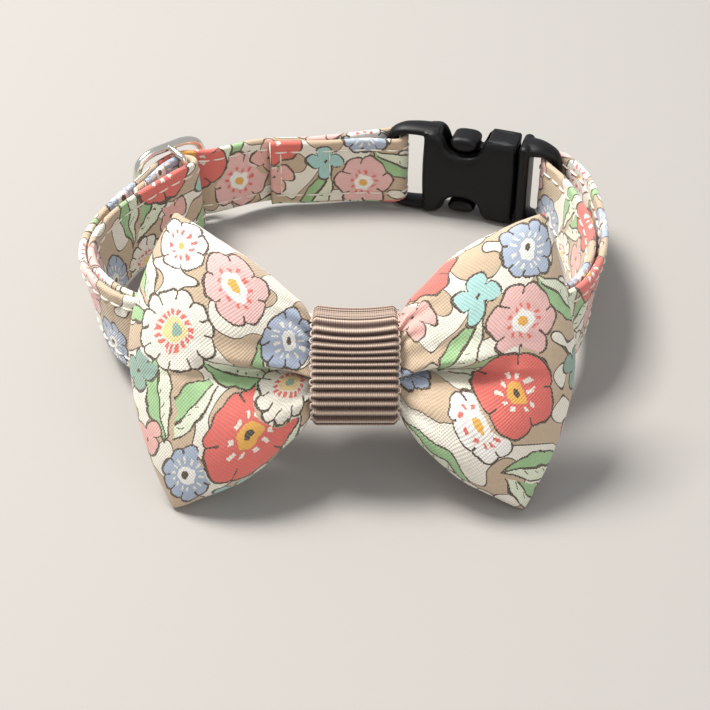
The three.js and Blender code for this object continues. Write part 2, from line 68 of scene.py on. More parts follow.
# The ring, from the socket's end bar round the left, the front and the right to the plug's.
# name, x, y, rise of the lower edge, lean, outer layer's offset, inner layer's offset
RING = [
    ("socket bar", 5.3, 21.5, 1.1, 0, 2.0, -2.0),
    ("behind socket", 1.0, 21.2, 1.0, 0, 1.2, -1.3),
    ("back", -5.0, 20.6, 0.8, 0, 0.85, -0.85),
    ("tail end", -12.5, 19.6, 1.0, 0, 0.85, -0.85),
    ("before slider", -19.0, 15.7, 1.3, -2, 1.5, -1.2),
    ("slider", -22.7, 12.9, 1.6, -5, 3.3, -1.6),
    ("after slider", -27.2, 7.6, 1.6, -8, 1.7, -1.7),
    ("left rear", -30.9, 0.9, 1.5, -10, 1.1, -1.1),
    ("left", -32.4, -5.4, 1.6, -10, 0.85, -0.85),
    ("left front", -31.0, -12.6, 2.3, -8, 0.85, -0.85),
    ("left corner", -26.6, -19.8, 3.3, 4, 0.85, -0.85),
    ("left of bow", -19.4, -24.2, 4.8, 20, 0.85, -0.85),
    ("left of wrap", -10.0, -27.4, 6.2, 33, 0.85, -0.85),
    ("wrap", 0.0, -28.6, 6.5, 36, 0.85, -0.85),
    ("right of wrap", 10.0, -27.2, 6.2, 33, 0.85, -0.85),
    ("right of bow", 19.2, -23.8, 4.6, 20, 0.85, -0.85),
    ("right corner", 25.2, -18.4, 3.2, 4, 0.85, -0.85),
    ("right front", 28.5, -10.8, 2.2, -6, 0.85, -0.85),
    ("right", 29.9, -2.4, 1.6, -10, 1.1, -1.3),
    ("right rear", 29.8, 5.4, 1.5, -5, 1.5, -1.9),
    ("behind plug", 29.0, 11.0, 1.2, -1, 1.9, -2.1),
    ("plug bar", 27.3, 14.7, 1.1, 0, 2.0, -2.0),
]


# ---- Smooth curves through table rows ----

def between(a, b, slope_a, slope_b, t):
    """A smooth step from a to b, with the slope at each, read at t from 0 to 1."""
    square = -3 * a + 3 * b - 2 * slope_a - slope_b
    cube = 2 * a - 2 * b + slope_a + slope_b
    return a + slope_a * t + square * t**2 + cube * t**3


def curve_at(rows, places, even=False, closed=False):
    """A smooth curve through the rows, read at places from 0 to 1. even spaces the rows alike;
    otherwise their distances count."""
    rows = np.asarray(rows, float)
    count = len(rows)
    if closed:
        padded = np.vstack([rows[-1:], rows, rows[:2]])
        spans = count
    else:
        first = 2 * rows[0] - rows[1]
        last = 2 * rows[-1] - rows[-2]
        padded = np.vstack([first, rows, last])
        spans = count - 1
    at = np.clip(np.asarray(places, float), 0, 1) * spans
    cell = np.minimum(at.astype(int), spans - 1)
    t = (at - cell)[:, None]
    p0, p1, p2, p3 = (padded[cell + k] for k in range(4))
    if even:
        m1 = (p2 - p0) / 2
        m2 = (p3 - p1) / 2
    else:
        d0, d1, d2 = (
            np.maximum(np.sum((b - a) ** 2, 1), 1e-12)[:, None] ** 0.25
            for a, b in ((p0, p1), (p1, p2), (p2, p3))
        )
        m1 = ((p1 - p0) / d0 - (p2 - p0) / (d0 + d1) + (p2 - p1) / d1) * d1
        m2 = ((p2 - p1) / d1 - (p3 - p1) / (d1 + d2) + (p3 - p2) / d2) * d1
    return between(p1, p2, m1, m2, t)


def closed_curve(rows, count):
    return curve_at(rows, np.linspace(0, 1, count, endpoint=False), closed=True)


def unit(v):
    return v / np.linalg.norm(v, axis=-1, keepdims=True)


def lengths(points):
    """How far along its path each point lies."""
    return np.concatenate([[0], np.cumsum(np.linalg.norm(np.diff(points, axis=0), axis=1))])


def hump(value, spread):
    """1 where the value is 0, falling away softly on both sides."""
    return np.exp(-((value / spread) ** 2))


def place_of(name):
    return [row[0] for row in RING].index(name) / (len(RING) - 1)


def ring_frames(places):
    """The band's middle, its along, up and out directions, and both layers' offsets."""
    places = np.atleast_1d(np.asarray(places, float))
    plan = [row[1:3] for row in RING]
    here = curve_at(plan, places)
    step = 1e-4
    ahead, behind = np.minimum(places + step, 1), np.maximum(places - step, 0)
    along = curve_at(plan, ahead) - curve_at(plan, behind)
    along = np.column_stack([unit(along), np.zeros(len(along))])
    level = np.cross(along, [0.0, 0.0, 1.0])
    rise, lean = curve_at([row[3:5] for row in RING], places, even=True).T
    outer, inner = curve_at([row[5:7] for row in RING], places, even=True).T
    tip = np.radians(lean)[:, None]
    z = np.array([0.0, 0.0, 1.0])
    up = z * np.cos(tip) - level * np.sin(tip)
    out = level * np.cos(tip) + z * np.sin(tip)
    middle = np.column_stack([here, rise + STRAP_WIDTH / 2 * np.cos(tip[:, 0])])
    return {"here": middle, "along": along, "up": up, "out": out, "outer": outer, "inner": inner}


# ---- The strap's stations ----

def run(start, stop, offset, face, steps):
    """A stretch of strap between two places, at an offset from the band's middle."""
    f = ring_frames(np.linspace(start, stop, steps + 1))
    points = f["here"] + f["out"] * offset(f)[:, None]
    return points, f["out"] * face, f["up"]


def half_turn(place, start, stop, ahead, face, steps):
    """A half turn round a bar, without its end stations. ahead is 1 along the ring, -1 against."""
    f = ring_frames([place])
    out, along, up = f["out"][0], f["along"][0], f["up"][0]
    middle = f["here"][0] + out * (start + stop) / 2
    reach = (start - stop) / 2
    angle = (np.pi * np.arange(1, steps) / steps)[:, None]
    radial = out * np.cos(angle) * np.sign(reach) + along * np.sin(angle) * ahead
    points = middle + radial * abs(reach)
    return points, radial * face * np.sign(reach), np.repeat(up[None], steps - 1, 0)


def strap_stations(density=1, tuck=0.0, pitch=LAYER_PITCH):
    """Points along the whole strap from its sewn-back tail to its end on the slider, with the
    directions of its thickness and width."""
    slider = place_of("slider")
    tail_end = place_of("tail end") - 0.004
    sewn_end = place_of("after slider") + 0.01
    ends = ring_frames([0.0, 1.0, slider])
    outer, inner = ends["outer"] - tuck, ends["inner"] + tuck
    turn = 10 * density
    parts = [
        run(tail_end, 0, lambda f: f["inner"] + tuck, -1, 36 * density),
        half_turn(0, inner[0], outer[0], -1, -1, turn),
        run(0, 1, lambda f: f["outer"] - tuck, 1, 360 * density),
        half_turn(1, outer[1], inner[1], 1, 1, turn),
        run(1, slider, lambda f: f["inner"] + tuck, -1, 280 * density),
        half_turn(slider, inner[2], outer[2] - pitch, -1, -1, turn),
        run(slider, sewn_end, lambda f: f["outer"] - tuck - pitch, 1, 22 * density),
    ]
    points, across, up = (np.vstack([part[k] for part in parts]) for k in range(3))
    return points, across, up, lengths(points)


# ---- Meshes from grids of points ----

ODD_DIRECTION = [0.31, 0.17, 0.94]  # along no bar, so that a bar's first section has a side
END_SHARE = 0.55  # of a bar's radius, at its open ends


def add_mesh(name, points, faces, material, uvs=None):
    """A smooth-shaded piece in the frame, from points in millimetres. uvs are fabric millimetres
    for each corner of each face."""
    mesh = bpy.data.meshes.new(name)
    mesh.from_pydata((np.asarray(points) * MM).tolist(), [], [list(map(int, f)) for f in faces])
    if uvs is not None:
        layer = mesh.uv_layers.new(name="Fabric")
        layer.data.foreach_set("uv", np.asarray(uvs, np.float32).ravel())
    mesh.polygons.foreach_set("use_smooth", [True] * len(mesh.polygons))
    mesh.materials.append(material)
    mesh.validate()
    mesh.update()
    piece = bpy.data.objects.new(name, mesh)
    bpy.context.scene.collection.objects.link(piece)
    return piece


def grid_faces(rows, columns, wrap_rows=False):
    """Quads of a grid whose columns close on themselves, with each face's corners by row and
    column number, for the fabric coordinates."""
    i = np.arange(rows if wrap_rows else rows - 1)[:, None]
    j = np.arange(columns)[None, :]
    i0, j0 = np.broadcast_arrays(i, j)
    i1, j1 = i0 + 1, j0 + 1
    corner = np.stack([i0, j0, i0, j1, i1, j1, i1, j0], -1).reshape(-1, 4, 2)
    return (corner[..., 0] % rows) * columns + corner[..., 1] % columns, corner


def closed_faces(rows, columns):
    """A tube's quads, with one face over each end."""
    last = (rows - 1) * columns
    ends = [list(range(columns))[::-1], list(range(last, last + columns))]
    return grid_faces(rows, columns)[0].tolist() + ends


def joined(solids):
    """The points and faces of several solids, as one."""
    points, faces, start = [], [], 0
    for solid_points, solid_faces in solids:
        points.append(solid_points)
        faces += [[start + corner for corner in face] for face in solid_faces]
        start += len(solid_points)
    return np.vstack(points), faces


def face_out(skin, faces, fabric):
    """A skin's quads and their fabric coordinates, turned to face away from the middle of their own
    section, and whether that turned them."""
    quads = skin.reshape(-1, 3)[faces]
    normal = np.cross(quads[:, 2] - quads[:, 0], quads[:, 3] - quads[:, 1])
    away = quads.mean(1) - skin.mean(1)[faces[:, 0] // skin.shape[1]]
    if np.einsum("ij,ij->", normal, away) > 0:
        return faces, fabric, False
    return faces[:, ::-1], fabric[:, ::-1], True


def tube_piece(name, paths, radius, sides, material, closed=False):
    """Round bars along many paths, joined in one piece, with domed ends where they are open."""
    solids = []
    for path in paths:
        path = np.asarray(path, float)
        ahead = np.roll(path, -1, 0) - np.roll(path, 1, 0)
        if not closed:
            ahead[0], ahead[-1] = path[1] - path[0], path[-1] - path[-2]
        ahead = unit(ahead)
        side = np.cross(ahead[0], ODD_DIRECTION)
        across = np.empty_like(path)
        for i, direction in enumerate(ahead):
            side = unit(side - direction * side.dot(direction))
            across[i] = side
        up = np.cross(ahead, across)
        angle = 2 * np.pi * np.arange(sides) / sides
        size = np.full(len(path), float(radius))
        if not closed:
            size[0] = size[-1] = radius * END_SHARE
        c, s = np.cos(angle)[None, :, None], np.sin(angle)[None, :, None]
        ring = across[:, None] * c + up[:, None] * s
        points = (path[:, None] + ring * size[:, None, None]).reshape(-1, 3)
        if closed:
            faces = grid_faces(len(path), sides, wrap_rows=True)[0].tolist()
        else:
            faces = closed_faces(len(path), sides)
        solids.append((points, faces))
    return add_mesh(name, *joined(solids), material)


def ripple(points, scale, seed):
    """Smooth noise from -1 to 1 at each point, with bumps about scale across."""
    offset = Vector((seed * 7.3, seed * 3.1, seed * 5.7))
    values = [noise.noise(Vector(p) / scale + offset) for p in points.reshape(-1, 3)]
    return np.array(values).reshape(points.shape[:-1])


# ---- Node materials ----

def colour(red, green, blue):
    """A linear colour from the everyday 0 to 255 scale."""
    return tuple(
        c / 12.92 if c <= 0.04045 else ((c + 0.055) / 1.055) ** 2.4
        for c in (red / 255, green / 255, blue / 255)
    ) + (1.0,)


class Graph:
    """A material's nodes, made by short calls. An input is a number, a tuple or a socket."""

    def __init__(self, name):
        self.material = bpy.data.materials.new(name)
        self.material.use_nodes = True
        self.nodes = self.material.node_tree.nodes
        self.links = self.material.node_tree.links
        self.shader = self.nodes["Principled BSDF"]

    def put(self, value, socket):
        if isinstance(value, bpy.types.NodeSocket):
            self.links.new(value, socket)
        else:
            socket.default_value = value

    def node(self, kind, inputs=(), **settings):
        node = self.nodes.new("ShaderNode" + kind)
        for key, value in settings.items():
            setattr(node, key, value)
        for key, value in dict(inputs).items():
            self.put(value, node.inputs[key])
        return node

    def math(self, operation, *values):
        return self.node("Math", enumerate(values), operation=operation).outputs[0]

    plus = partialmethod(math, "ADD")
    minus = partialmethod(math, "SUBTRACT")
    times = partialmethod(math, "MULTIPLY")
    scaled = partialmethod(math, "MULTIPLY_ADD")
    power = partialmethod(math, "POWER")
    under = partialmethod(math, "LESS_THAN")
    over = partialmethod(math, "GREATER_THAN")

    def vector(self, operation, *values):
        node = self.node("VectorMath", enumerate(values), operation=operation)
        return node.outputs["Value" if operation in ("LENGTH", "DOT_PRODUCT") else "Vector"]

    def mix_vector(self, share, a, b):
        return self.node("Mix", {0: share, 4: a, 5: b}, data_type="VECTOR").outputs[1]

    def mix_colour(self, share, a, b, blend="MIX"):
        node = self.node("Mix", {0: share, 6: a, 7: b}, data_type="RGBA", blend_type=blend)
        return node.outputs[2]

    def dim(self, shade, tone):
        grey = self.node("CombineColor", {0: tone, 1: tone, 2: tone}).outputs[0]
        return self.mix_colour(1.0, shade, grey, "MULTIPLY")

    def band(self, value, low, high):
        """1 between low and high, else 0."""
        return self.all_of(self.over(value, low), self.under(value, high))

    def all_of(self, *masks):
        result = masks[0]
        for mask in masks[1:]:
            result = self.times(result, mask)
        return result

    def split(self, vector):
        return tuple(self.node("SeparateXYZ", {0: vector}).outputs)

    def choose(self, value, colours):
        """One of the colours, by a value from 0 to 1."""
        ramp = self.node("ValToRGB", {0: value}).color_ramp
        ramp.interpolation = "CONSTANT"
        while len(ramp.elements) < len(colours):
            ramp.elements.new(0.5)
        for i, shade in enumerate(colours):
            ramp.elements[i].position = i / len(colours)
            ramp.elements[i].color = shade
        return self.nodes[-1].outputs[0]

    def noise(self, vector, scale, detail=2.0, output=0):
        node = self.node("TexNoise", {"Vector": vector, "Scale": scale, "Detail": detail})
        return node.outputs[output]

    def fabric(self):
        return self.node("UVMap", uv_map="Fabric").outputs[0]

    def place(self):
        """The point on the object, in millimetres."""
        at = self.node("TexCoord").outputs["Object"]
        return self.vector("MULTIPLY", at, (1000.0, 1000.0, 1000.0))

    def finish(self, shade, roughness, height=None, bump_mm=0.05, **constants):
        self.put(shade, self.shader.inputs["Base Color"])
        self.put(roughness, self.shader.inputs["Roughness"])
        for key, value in constants.items():
            self.shader.inputs[key.replace("_", " ")].default_value = value
        if height is not None:
            bump = self.node("Bump", {"Height": height, "Distance": bump_mm * MM, "Strength": 1.0})
            self.links.new(bump.outputs[0], self.shader.inputs["Normal"])
        return self.material


# ---- The floral print: plain flowers and leaf sprigs of the builder's own ----

REPEAT = (52.0, 37.0, 1000.0)
INK = colour(72, 54, 40)
GROUND = colour(200, 174, 144)
CREAM = colour(243, 236, 220)
WHITE = colour(250, 246, 238)
CORAL = colour(232, 102, 92)
PINK = colour(240, 188, 182)
ROSE = colour(238, 178, 168)
BLUE = colour(170, 184, 206)
MINT = colour(166, 214, 208)
SAGE = colour(140, 172, 156)
GOLD = colour(240, 176, 70)
HONEY = colour(246, 214, 146)

# Each kind of flower: petals, ring, eye and heart, the ring's inner and outer reach, how sparse
# its dashes are, the reach of the eye and the heart, then the number of petals, the depth of the
# cuts between them and the radius. A bud is one plain colour.
def bud(shade, radius):
    return shade, INK, shade, INK, 0.0, 0.0, 1.0, 0.1, 0.1, 4, 0.5, radius


KINDS = {
    "cream": (CREAM, CORAL, HONEY, SAGE, 0.34, 0.5, -0.3, 0.3, 0.14, 12, 0.1, 4.7),
    "coral": (CORAL, CREAM, GOLD, INK, 0.34, 0.48, 0.3, 0.26, 0.1, 5, 0.14, 5.3),
    "pink": (PINK, CORAL, WHITE, GOLD, 0.36, 0.48, 0.3, 0.32, 0.14, 6, 0.18, 4.5),
    "blue": (BLUE, CREAM, WHITE, INK, 0.42, 0.62, 0.5, 0.32, 0.13, 9, 0.1, 4.0),
    "mint": bud(MINT, 3.0),
    "sage": bud(SAGE, 3.0),
    "rose": bud(ROSE, 3.1),
    "white": (WHITE, CORAL, WHITE, GOLD, 0.4, 0.56, 0.2, 0.3, 0.16, 6, 0.16, 3.4),
}

# The repeat, column by column. Each second column stands half a cell higher.
CHART = [
    "cream sprig pink sage",
    "rose coral sprig blue",
    "sprig mint cream white",
    "pink blue sprig coral",
    "sage sprig coral rose",
    "cream white blue sprig",
    "sprig pink mint coral",
    "blue rose sprig cream",
]
LEAF = {"half": 5.6, "wide": 2.1, "apart": 1.9, "spread": 24, "line": 0.26, "rib": 0.14}
SPRIG_TURN = 50  # degrees from each cell's sprig to the next cell's
FLOWER_LINE = 0.28
NOWHERE = (90.0, 90.0, 0.0)  # further from a flower's middle than any petal


def chart_cells():
    """Each cell's name, its place in the repeat, a little off the grid, and its number."""
    for column, line in enumerate(CHART):
        names = line.split()
        for row, name in enumerate(names):
            number = column * len(names) + row
            x = REPEAT[0] * column / len(CHART) + 1.2 * math.sin(2.4 * number)
            y = REPEAT[1] * (row + column % 2 / 2) / len(names) + 1.3 * math.cos(1.7 * number)
            yield name, x, y, number


def leaves():
    """Two leaves side by side for each sprig, each sprig turned its own way."""
    for name, x, y, number in chart_cells():
        if name == "sprig":
            for side in (-1, 1):
                turn = SPRIG_TURN * number + side * LEAF["spread"]
                away = math.radians(SPRIG_TURN * number + 90 * side)
                aside = LEAF["apart"]
                yield x + aside * math.cos(away), y + aside * math.sin(away), turn


def repeat_from(g, point, x, y):
    """The way from the nearest copy of a place in the repeat."""
    half = tuple(size / 2 for size in REPEAT)
    away = g.vector("SUBTRACT", point, (x, y, 0.0))
    return g.vector("WRAP", away, half, tuple(-size for size in half))


def draw_leaves(g, point, shade):
    local = NOWHERE
    half, wide = LEAF["half"], LEAF["wide"]
    for x, y, turn in leaves():
        away = repeat_from(g, point, x, y)
        turned = g.node(
            "VectorRotate", {"Vector": away, "Angle": math.radians(-turn)}, rotation_type="Z_AXIS"
        ).outputs[0]
        reach = g.vector("LENGTH", g.vector("MULTIPLY", turned, (1 / half, 1 / wide, 0.0)))
        inside = g.under(reach, 1.0)
        local = g.mix_vector(inside, local, turned)
    x, y, _ = g.split(local)
    share = g.math("DIVIDE", x, half)
    bow = g.times(g.minus(g.power(share, 2.0), 0.4), 0.35)
    y = g.plus(y, bow)
    edge = g.times(wide, g.minus(0.92, g.power(share, 2.0)))
    room = g.minus(edge, g.math("ABSOLUTE", y))
    green = g.mix_colour(g.noise(point, 0.3), colour(172, 212, 154), colour(136, 180, 120))
    tone = g.mix_colour(g.under(y, -0.1), green, colour(230, 236, 208))
    veins = g.math("SINE", g.plus(g.times(x, 4.2), g.times(y, 5.0)))
    hatch = g.all_of(g.over(veins, 0.9), g.band(y, -0.75, -0.3), g.band(share, -0.5, 0.2))
    rib = g.all_of(g.band(y, -LEAF["rib"], LEAF["rib"]), g.under(share, 0.72))
    rim = g.under(room, LEAF["line"])
    lines = g.math("MAXIMUM", g.math("MAXIMUM", hatch, rib), rim)
    return g.mix_colour(g.over(room, 0.0), shade, g.mix_colour(lines, tone, INK))


def draw_flowers(g, point, shade):
    names = list(KINDS)
    local, size, look = NOWHERE, (1.0, 5.0, 0.2), (0.0, 0.0, 0.0)
    for kind, x, y, number in chart_cells():
        if kind == "sprig":
            continue
        lobes, cut, r = KINDS[kind][9:]
        r *= 0.9 + 0.16 * math.sin(number) ** 2
        away = repeat_from(g, point, x, y)
        inside = g.under(g.vector("LENGTH", away), r)
        local = g.mix_vector(inside, local, away)
        size = g.mix_vector(inside, size, (r, float(lobes), cut))
        which = (names.index(kind) + 0.5) / len(names)
        look = g.mix_vector(inside, look, (which, 0.7 * number, 0.0))
    x, y, _ = g.split(local)
    radius, lobes, cut = g.split(size)
    kind, turn, _ = g.split(look)
    far = g.vector("LENGTH", local)
    angle = g.plus(g.math("ARCTAN2", y, x), turn)
    half_turns = g.times(g.times(angle, lobes), 0.5)
    wave = g.math("ABSOLUTE", g.math("COSINE", half_turns))
    dip = g.times(cut, g.minus(1.0, g.power(wave, 0.6)))
    rim = g.times(radius, g.minus(0.98, dip))
    room = g.minus(rim, far)
    share = g.math("DIVIDE", far, rim)
    rows = list(KINDS.values())
    petals, ring, eye, heart = (g.choose(kind, [row[k] for row in rows]) for k in range(4))
    reach = g.choose(kind, [(*row[4:6], row[6] / 2 + 0.5, 1.0) for row in rows])
    ring_from, ring_to, sparse = g.split(reach)
    hub = g.choose(kind, [(*row[7:9], 0.0, 1.0) for row in rows])
    eye_to, heart_to, _ = g.split(hub)
    deep = g.mix_colour(1.0, petals, (0.84, 0.76, 0.76, 1.0), "MULTIPLY")
    paint = g.mix_colour(g.times(g.under(share, 0.55), 0.4), petals, deep)
    paint = g.mix_colour(g.noise(point, 0.8), paint, petals)
    paint = g.mix_colour(g.under(share, eye_to), paint, eye)
    spokes = g.math("COSINE", g.times(angle, g.plus(lobes, 5.0)))
    spokes = g.scaled(spokes, 0.5, 0.5)
    dashes = g.all_of(g.band(share, ring_from, ring_to), g.over(spokes, sparse))
    paint = g.mix_colour(dashes, paint, ring)
    paint = g.mix_colour(g.under(share, heart_to), paint, heart)
    gap = g.times(g.math("DIVIDE", far, lobes), wave)
    seam = g.all_of(g.under(gap, 0.055), g.over(share, 0.72))
    ink = g.math("MAXIMUM", seam, g.under(room, FLOWER_LINE))
    return g.mix_colour(g.over(room, 0.0), shade, g.mix_colour(ink, paint, INK))


WEAVE = 0.21
PRINT_STEP = WEAVE / 2  # the print follows the threads in steps
DRIFT = 1.5  # how far its outlines wander
GROUND_SPLIT = 0.54  # of the blots' noise: cream above it, tan below
GROUND_LINE = (0.531, 0.549)


def weave(g, point):
    """Plain weave: threads crossing over and under, from 0 in the gaps to 1 on the crowns."""
    x, y, _ = g.split(point)
    across = g.math("SINE", g.times(x, math.pi / WEAVE))
    along = g.math("SINE", g.times(y, math.pi / WEAVE))
    return g.scaled(g.times(across, along), 0.5, 0.5)


def floral_cotton():
    g = Graph("floral_cotton")
    flat = g.fabric()
    threads = g.vector("SNAP", flat, (PRINT_STEP, PRINT_STEP, 1.0))
    drift = g.vector("SUBTRACT", g.noise(threads, 0.45, 0.6, 1), (0.5, 0.5, 0.5))
    point = g.vector("ADD", threads, g.vector("MULTIPLY", drift, (DRIFT, DRIFT, 0.0)))
    blots = g.noise(g.vector("ADD", flat, (31.0, 17.0, 0.0)), 0.24, 0.0)
    ground = g.mix_colour(g.over(blots, GROUND_SPLIT), GROUND, CREAM)
    ground = g.mix_colour(g.band(blots, *GROUND_LINE), ground, INK)
    shade = draw_flowers(g, point, draw_leaves(g, point, ground))
    lift = weave(g, flat)
    gaps = g.power(g.minus(1.0, lift), 2.0)
    shade = g.mix_colour(g.times(gaps, 0.3), shade, CREAM)
    uneven = g.noise(flat, 1.6, 3.0)
    # Painted shade in the weave's gaps and painted highlight on its crowns; the uneven noise adds a
    # tone that differs at random.
    painted_weave_light = g.scaled(lift, 0.3, 0.75)
    tone = g.plus(painted_weave_light, g.scaled(uneven, 0.16, -0.08))
    shade = g.dim(shade, tone)
    height = g.scaled(uneven, 0.6, lift)
    return g.finish(
        shade, 0.88, height, 0.05, Sheen_Weight=0.25, Sheen_Roughness=0.5, Specular_IOR_Level=0.25
    )


def thread(name, dark, light):
    g = Graph(name)
    fibres = g.noise(g.place(), 3.0, 3.0)
    shade = g.mix_colour(fibres, dark, light)
    return g.finish(shade, 0.7, fibres, 0.05, Sheen_Weight=0.2, Specular_IOR_Level=0.3)


RIB_YARN = 0.25


def grosgrain():
    g = Graph("grosgrain")
    flat = g.fabric()
    x, y, _ = g.split(flat)
    yarn = g.math("SINE", g.times(x, 2 * math.pi / RIB_YARN))
    uneven = g.noise(g.vector("MULTIPLY", flat, (1.0, 0.3, 1.0)), 2.5, 3.0)
    # Painted light: each rib's crown is painted a light tan highlight and its groove a dark brown
    # shade, on top of the ribs the mesh already has.
    rib = g.math("COSINE", g.times(y, 2 * math.pi))
    crown = g.power(g.scaled(rib, 0.5, 0.5), 3.2)
    shade = g.mix_colour(crown, colour(74, 50, 41), colour(218, 192, 170))
    shade = g.mix_colour(g.times(uneven, 0.2), shade, colour(140, 114, 100))
    # Painted shade between the yarns and painted highlight on their crests, following the same sine
    # as the yarn bump.
    shade = g.dim(shade, g.scaled(yarn, 0.09, 0.94))
    height = g.plus(yarn, g.times(uneven, 1.2))
    return g.finish(shade, 0.62, height, 0.03, Sheen_Weight=0.3, Specular_IOR_Level=0.4)


def black_plastic():
    g = Graph("black_plastic")
    at = g.place()
    grain = g.noise(at, 6.0, 4.0)
    rubbed = g.noise(at, 0.5, 3.0)
    shade = g.mix_colour(rubbed, colour(3, 3, 4), colour(8, 8, 9))
    roughness = g.scaled(rubbed, 0.2, 0.36)
    return g.finish(shade, roughness, grain, 0.012, Specular_IOR_Level=0.28)


def nickel():
    g = Graph("nickel")
    at = g.place()
    fine = g.noise(g.vector("MULTIPLY", at, (1.0, 1.0, 5.0)), 4.0, 4.0)
    shade = g.mix_colour(fine, colour(214, 208, 196), colour(240, 236, 226))
    roughness = g.scaled(fine, 0.16, 0.1)
    return g.finish(shade, roughness, fine, 0.01, Metallic=1.0)


COTTON = floral_cotton()
THREAD = thread("sewing_thread", colour(226, 212, 190), colour(246, 240, 228))
EDGE_THREAD = thread("edge_thread", colour(176, 150, 134), colour(226, 208, 194))
RIBBON = grosgrain()
PLASTIC = black_plastic()
NICKEL = nickel()


# ---- The strap, a folded cotton band stitched along both edges ----

STITCH_LINE = 3.45  # from the strap's middle
STITCH = {"pitch": 2.2, "long": 1.7, "radius": 0.12, "sunk": 0.13}
TACK = {"pitch": 1.75, "long": 1.4}
PRINT_START = (6.0, 1.8)  # the print's place at the strap's tail
STRAP_POINTS = 23  # across each face
FLAT_HALF = 4.55  # the strap's flat width, from its middle
EDGE_FROM, EDGE_ROUND = 4.58, 0.42  # where its round edges start, and how wide they are
DENT = {"deep": 0.16, "wide": 0.28}  # along each line of stitching


def strap_profile():
    """Half-thickness and width of the section's points, outer face first, all the way round."""
    flat = np.linspace(-FLAT_HALF, FLAT_HALF, STRAP_POINTS)
    turn = np.radians(np.linspace(78, -78, 7))
    edge_out = EDGE_FROM + EDGE_ROUND * np.cos(turn)
    edge_thick = 0.97 * CLOTH_THICK / 2 * np.sin(turn)
    half = CLOTH_THICK / 2
    thick = np.concatenate(
        [np.full(STRAP_POINTS, half), edge_thick, np.full(STRAP_POINTS, -half), -edge_thick]
    )
    wide = np.concatenate([flat, edge_out, flat[::-1], -edge_out])
    return thick, wide


def strap_offset():
    """Moves the strap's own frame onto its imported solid."""
    points, across, up, _ = strap_stations()
    half = STRAP_WIDTH / 2
    reach = np.abs(across) * STRAP_THICK / 2 + np.abs(up) * half
    low, high = (points - reach).min(0), (points + reach).max(0)
    node_low, node_high = (np.array(corner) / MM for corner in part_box("strap"))
    return (node_low + node_high) / 2 - (low + high) / 2


SHIFT = strap_offset()


def make_strap():
    points, across, up, length = strap_stations(2, CLOTH_TUCK, CLOTH_PITCH)
    thick, wide = strap_profile()
    side, outward = np.sign(thick)[None, :], across[:, None]
    line = hump(np.abs(wide) - STITCH_LINE, DENT["wide"])[None, :]
    pull = 0.45 + 0.55 * np.cos(np.pi * length[:, None] / STITCH["pitch"]) ** 2
    flat_part = (np.abs(wide) < EDGE_FROM)[None, :]
    skin = points[:, None] + outward * thick[None, :, None] + up[:, None] * wide[None, :, None]
    soft = ripple(skin, 2.3, 1.0) * 0.09 + ripple(skin, 0.9, 4.0) * 0.03
    thin = -DENT["deep"] * line * pull * flat_part - 0.05 + np.minimum(soft, 0.06) * flat_part
    waver = 0.1 * ripple(length[:, None] * [1.0, 0.0, 0.0], 5.0, 2.0)
    skin = skin + outward * (side * thin)[..., None]
    skin = skin + up[:, None] * (waver[:, None] * np.sign(wide)[None, :])[..., None]
    around = np.concatenate([[0], np.cumsum(np.hypot(np.diff(thick), np.diff(wide)))])
    closing = around[-1] + math.hypot(thick[0] - thick[-1], wide[0] - wide[-1])
    around = np.append(around, closing) + PRINT_START[1]
    faces, corner = grid_faces(len(points), len(thick))
    fabric = np.stack([length[corner[..., 0]] + PRINT_START[0], around[corner[..., 1]]], -1)
    faces, fabric, turned = face_out(skin, faces, fabric)
    count, flat = len(thick), skin.reshape(-1, 3)
    first, last = list(range(count)), list(range(len(flat) - count, len(flat)))
    end_uv = np.column_stack([length[0] + thick, wide])
    order = 1 if turned else -1
    ends = [first[::order], last[::-order]]
    uvs = np.vstack([fabric.reshape(-1, 2), end_uv[::order], end_uv[::-order]])
    piece = add_mesh("strap_cloth", flat + SHIFT, faces.tolist() + ends, COTTON, uvs)
    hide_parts("strap")
    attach(piece, "root")


def at_length(stations, s):
    *vectors, length = stations
    read = [np.column_stack([np.interp(s, length, v[:, k]) for k in range(3)]) for v in vectors]
    return read[0], unit(read[1]), unit(read[2])


def stitch_path(stations, start, wide, side, long=0.0, over=0.0):
    """One stitch, running long along the strap or over across it. It rises from the cloth, lies on
    it and dips back in."""
    share = np.linspace(0, 1, 6)
    point, across, up = at_length(stations, start + share * long)
    rise = CLOTH_THICK / 2 + STITCH["sunk"] * (np.sin(np.pi * share) ** 0.5 - 1)
    place = wide + share * over
    return point + across * (rise * side)[:, None] + up * place[:, None] + SHIFT


def make_stitches():
    """Both rows of top-stitching on each face, and the lines that hold the sewn-back ends."""
    stations = strap_stations(2, CLOTH_TUCK, CLOTH_PITCH)
    total = stations[3][-1]
    paths = []
    for side in (-1, 1):
        for wide in (-STITCH_LINE, STITCH_LINE):
            for start in np.arange(0.6, total - 2.0, STITCH["pitch"]):
                paths.append(stitch_path(stations, start, wide, side, long=STITCH["long"]))
    for start in (1.4, 8.2, total - 1.2):
        for side in (-1, 1):
            for wide in np.arange(-STITCH_LINE, STITCH_LINE - 1.2, TACK["pitch"]):
                paths.append(stitch_path(stations, start, wide, side, over=TACK["long"]))
    piece = tube_piece("strap_stitches", paths, STITCH["radius"], 6, THREAD)
    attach(piece, "root")


# ---- The bow, a soft sewn pouch pinched in at its waist ----

LEAN = math.radians(BOW["lean"])
BOW_ALONG = np.array([1.0, 0, 0])
BOW_UP = np.array([0, math.sin(LEAN), math.cos(LEAN)])
BOW_FRONT = np.array([0, -math.cos(LEAN), math.sin(LEAN)])
BOW_CENTRE = np.array(BOW["centre"])


def in_bow(x, up, front):
    """Places in the frame, from places along, up and out of the bow's face."""
    away = x[..., None] * BOW_ALONG + up[..., None] * BOW_UP
    return BOW_CENTRE + away + front[..., None] * BOW_FRONT


